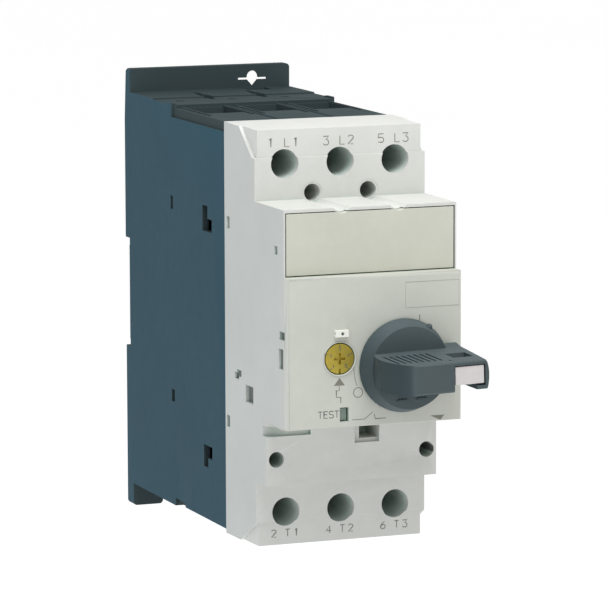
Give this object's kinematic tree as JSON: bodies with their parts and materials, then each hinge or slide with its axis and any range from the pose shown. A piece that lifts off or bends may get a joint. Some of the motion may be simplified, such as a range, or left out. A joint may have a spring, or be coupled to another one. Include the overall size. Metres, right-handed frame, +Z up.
{
  "type": "motor protection breaker",
  "caption": "Rotary-handle breaker that switches and protects a three-phase motor, clips on a mounting rail and takes conductors in screw terminals.",
  "frame": {"origin": "middle of the flat in the back plate that seats on the rail", "axes": "+X to the right seen from the front, +Y back towards the rail, +Z up"},
  "size_m": [0.055, 0.1769, 0.1426],
  "materials": {
    "dark_moulding": "fine spark texture, slate blue-grey",
    "white_moulding": "fine matt texture, light grey-white",
    "panel_moulding": "fine matt texture, light grey-white",
    "cover_moulding": "fine matt texture, light grey-white",
    "zinc_screw": "bright zinc plate",
    "guide_moulding": "fine texture, grey-green",
    "handle_moulding": "fine texture, dark grey",
    "shaft_steel": "turned",
    "spring_steel": "drawn wire",
    "slide_moulding": "smooth, pale grey",
    "dial_brass": "turned, lightly worn",
    "spindle_brass": "turned",
    "button_moulding": "smooth, dark grey-green",
    "latch_moulding": "smooth black",
    "carrier_moulding": "glass-filled black",
    "copper": "bare copper",
    "silver": "silver contact alloy",
    "chute_steel": "zinc-plated sheet",
    "chute_fibre": "vulcanised fibre",
    "winding_copper": "enamelled copper",
    "bobbin_moulding": "glass-filled black",
    "soft_iron": "plated soft iron",
    "bimetal": "rolled strip",
    "heater_wire": "flat resistance wire",
    "trip_moulding": "red moulding",
    "lever_steel": "pressed and plated",
    "frame_steel": "zinc-plated sheet",
    "terminal_steel": "zinc-plated screw",
    "clamp_steel": "zinc-plated cage"
  },
  "bodies": {
    "casing": {"base_housing": "dark_moulding", "back_plate": "dark_moulding", "front_housing": "white_moulding", "control_panel": "panel_moulding", "housing_screws": "zinc_screw", "line_contacts": "copper", "load_contacts": "copper", "load_strips": "copper", "screwdriver_guides": "guide_moulding", "contact_pads": "silver", "arc_chutes": "chute_steel", "chute_cheeks": "chute_fibre", "coil_windings": "winding_copper", "coil_bobbins": "bobbin_moulding", "coil_cores": "soft_iron", "coil_yokes": "soft_iron", "bimetal_strips": "bimetal", "heater_windings": "heater_wire", "lever_pin": "lever_steel", "mechanism_frame": "frame_steel"},
    "handle": {"rotary_handle": "handle_moulding", "handle_shaft": "shaft_steel", "return_spring": "spring_steel"},
    "padlock_slide": {"padlock_slide": "slide_moulding"},
    "carrier": {"contact_carrier": "carrier_moulding", "contact_bridges": "copper", "contact_springs": "spring_steel"},
    "dial": {"setting_dial": "dial_brass", "dial_spindle": "spindle_brass"},
    "test_button": {"test_button": "button_moulding", "test_spring": "spring_steel"},
    "rail_latch": {"din_latch": "latch_moulding", "latch_spring": "spring_steel"},
    "blank_cover": {"aux_cover": "cover_moulding"},
    "trip_bar": {"trip_bar": "trip_moulding"},
    "trip_slide": {"trip_slide": "trip_moulding"},
    "latch_lever": {"latch_lever": "lever_steel"},
    "plunger_1": {"plunger_1": "soft_iron", "plunger_spring_1": "spring_steel"},
    "plunger_2": {"plunger_2": "soft_iron", "plunger_spring_2": "spring_steel"},
    "plunger_3": {"plunger_3": "soft_iron", "plunger_spring_3": "spring_steel"},
    "line_screw_1": {"line_screw_1": "terminal_steel"},
    "line_clamp_1": {"line_clamp_1": "clamp_steel"},
    "line_screw_2": {"line_screw_2": "terminal_steel"},
    "line_clamp_2": {"line_clamp_2": "clamp_steel"},
    "line_screw_3": {"line_screw_3": "terminal_steel"},
    "line_clamp_3": {"line_clamp_3": "clamp_steel"},
    "load_screw_1": {"load_screw_1": "terminal_steel"},
    "load_clamp_1": {"load_clamp_1": "clamp_steel"},
    "load_screw_2": {"load_screw_2": "terminal_steel"},
    "load_clamp_2": {"load_clamp_2": "clamp_steel"},
    "load_screw_3": {"load_screw_3": "terminal_steel"},
    "load_clamp_3": {"load_clamp_3": "clamp_steel"}
  },
  "joints": [
    {"name": "handle_turn", "type": "hinge", "parent": "casing", "child": "handle", "pos_m": [0.0086, -0.15, -0.0049], "axis": [0, 1, 0], "range_deg": [0, 90]},
    {"name": "padlock_pull", "type": "slide", "parent": "handle", "child": "padlock_slide", "axis": [0, -1, 0], "range_m": [0, 0.006]},
    {"name": "contacts_close", "type": "slide", "parent": "casing", "child": "carrier", "axis": [0, 1, 0], "range_m": [0, 0.0039]},
    {"name": "dial_turn", "type": "hinge", "parent": "casing", "child": "dial", "pos_m": [-0.0115, -0.142, -0.0019], "axis": [0, 1, 0], "range_deg": [-120, 120]},
    {"name": "test_press", "type": "slide", "parent": "casing", "child": "test_button", "axis": [0, 1, 0], "range_m": [0, 0.0025], "stiffness_N_per_m": 400, "springref_m": -0.001},
    {"name": "latch_pull", "type": "slide", "parent": "casing", "child": "rail_latch", "axis": [0, 0, -1], "range_m": [0, 0.005], "stiffness_N_per_m": 800, "springref_m": -0.002},
    {"name": "cover_lift_off", "type": "slide", "parent": "casing", "child": "blank_cover", "axis": [0, -1, 0], "range_m": [0, 0.012]},
    {"name": "trip_rock", "type": "hinge", "parent": "casing", "child": "trip_bar", "pos_m": [0, -0.094, -0.016], "axis": [1, 0, 0], "range_deg": [-12, 0], "stiffness_Nm_per_rad": 0.02, "springref_deg": 11.46},
    {"name": "trip_shift", "type": "slide", "parent": "casing", "child": "trip_slide", "axis": [1, 0, 0], "range_m": [0, 0.0015], "stiffness_N_per_m": 200, "springref_m": -0.001},
    {"name": "lever_rock", "type": "hinge", "parent": "casing", "child": "latch_lever", "pos_m": [-0.0105, -0.112, 0.012], "axis": [1, 0, 0], "range_deg": [0, 15], "stiffness_Nm_per_rad": 0.02, "springref_deg": -11.46},
    {"name": "plunger_strike_1", "type": "slide", "parent": "casing", "child": "plunger_1", "axis": [0, -1, 0], "range_m": [0, 0.003], "stiffness_N_per_m": 200, "springref_m": -0.001},
    {"name": "plunger_strike_2", "type": "slide", "parent": "casing", "child": "plunger_2", "axis": [0, -1, 0], "range_m": [0, 0.003], "stiffness_N_per_m": 200, "springref_m": -0.001},
    {"name": "plunger_strike_3", "type": "slide", "parent": "casing", "child": "plunger_3", "axis": [0, -1, 0], "range_m": [0, 0.003], "stiffness_N_per_m": 200, "springref_m": -0.001},
    {"name": "line_screw_turn_1", "type": "hinge", "parent": "casing", "child": "line_screw_1", "pos_m": [-0.0178, -0.067, 0.0532], "axis": [0, 1, 0], "range_deg": [0, 2475]},
    {"name": "line_clamp_lift_1", "type": "slide", "parent": "casing", "child": "line_clamp_1", "axis": [0, -1, 0], "range_m": [0, 0.0055]},
    {"name": "line_screw_turn_2", "type": "hinge", "parent": "casing", "child": "line_screw_2", "pos_m": [0, -0.067, 0.0532], "axis": [0, 1, 0], "range_deg": [0, 2475]},
    {"name": "line_clamp_lift_2", "type": "slide", "parent": "casing", "child": "line_clamp_2", "axis": [0, -1, 0], "range_m": [0, 0.0055]},
    {"name": "line_screw_turn_3", "type": "hinge", "parent": "casing", "child": "line_screw_3", "pos_m": [0.0178, -0.067, 0.0532], "axis": [0, 1, 0], "range_deg": [0, 2475]},
    {"name": "line_clamp_lift_3", "type": "slide", "parent": "casing", "child": "line_clamp_3", "axis": [0, -1, 0], "range_m": [0, 0.0055]},
    {"name": "load_screw_turn_1", "type": "hinge", "parent": "casing", "child": "load_screw_1", "pos_m": [-0.0178, -0.067, -0.0524], "axis": [0, 1, 0], "range_deg": [0, 2475]},
    {"name": "load_clamp_lift_1", "type": "slide", "parent": "casing", "child": "load_clamp_1", "axis": [0, -1, 0], "range_m": [0, 0.0055]},
    {"name": "load_screw_turn_2", "type": "hinge", "parent": "casing", "child": "load_screw_2", "pos_m": [0, -0.067, -0.0524], "axis": [0, 1, 0], "range_deg": [0, 2475]},
    {"name": "load_clamp_lift_2", "type": "slide", "parent": "casing", "child": "load_clamp_2", "axis": [0, -1, 0], "range_m": [0, 0.0055]},
    {"name": "load_screw_turn_3", "type": "hinge", "parent": "casing", "child": "load_screw_3", "pos_m": [0.0178, -0.067, -0.0524], "axis": [0, 1, 0], "range_deg": [0, 2475]},
    {"name": "load_clamp_lift_3", "type": "slide", "parent": "casing", "child": "load_clamp_3", "axis": [0, -1, 0], "range_m": [0, 0.0055]}
  ],
  "couplings": [
    {"joint": "contacts_close", "follows": "handle_turn", "m_per_rad": 0.0024828},
    {"joint": "line_screw_turn_1", "follows": "line_clamp_lift_1", "rad_per_m": 7854},
    {"joint": "line_screw_turn_2", "follows": "line_clamp_lift_2", "rad_per_m": 7854},
    {"joint": "line_screw_turn_3", "follows": "line_clamp_lift_3", "rad_per_m": 7854},
    {"joint": "load_screw_turn_1", "follows": "load_clamp_lift_1", "rad_per_m": 7854},
    {"joint": "load_screw_turn_2", "follows": "load_clamp_lift_2", "rad_per_m": 7854},
    {"joint": "load_screw_turn_3", "follows": "load_clamp_lift_3", "rad_per_m": 7854}
  ]
}
